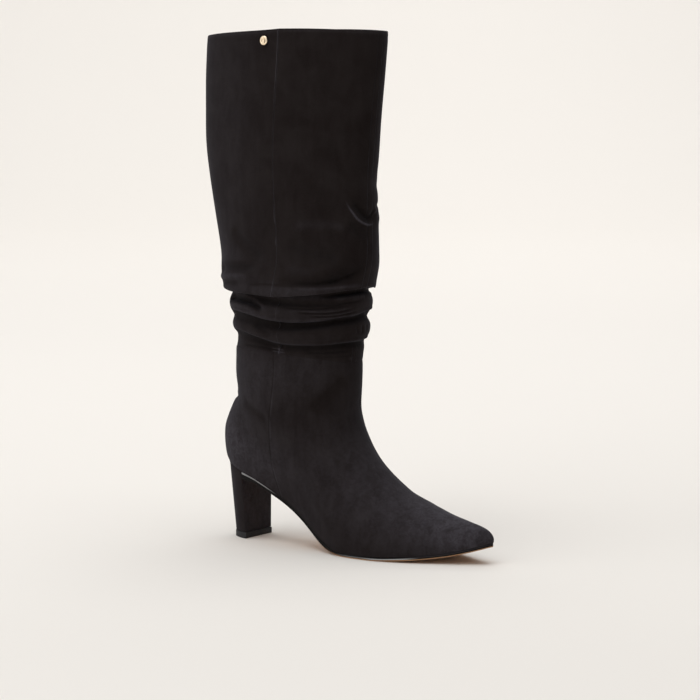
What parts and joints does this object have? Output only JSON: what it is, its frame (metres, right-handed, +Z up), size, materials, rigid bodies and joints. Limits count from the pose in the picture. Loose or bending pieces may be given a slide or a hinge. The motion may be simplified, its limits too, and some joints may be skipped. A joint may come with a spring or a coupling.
{
  "type": "slouch boot",
  "caption": "Knee-high slouch boot for a right foot: suede leg folded above the ankle, pointed toe and slim block heel.",
  "frame": {"origin": "centre of the bounding box, on the floor", "axes": "+X to the toe, +Y to the inner (medial) side of this right boot, +Z up"},
  "size_m": [0.2814, 0.0898, 0.426],
  "materials": {
    "suede": "black suede, matt nap",
    "sole": "black polished edge over a tan leather underside",
    "sock": "smooth sock leather",
    "top_piece": "matt black",
    "rivet": "polished pale gold"
  },
  "bodies": {
    "root": {"upper": "suede", "shaft": "suede", "heel_block": "suede", "outsole": "sole", "insole": "sock", "heel_top_piece": "top_piece", "rivet": "rivet"}
  },
  "joints": []
}
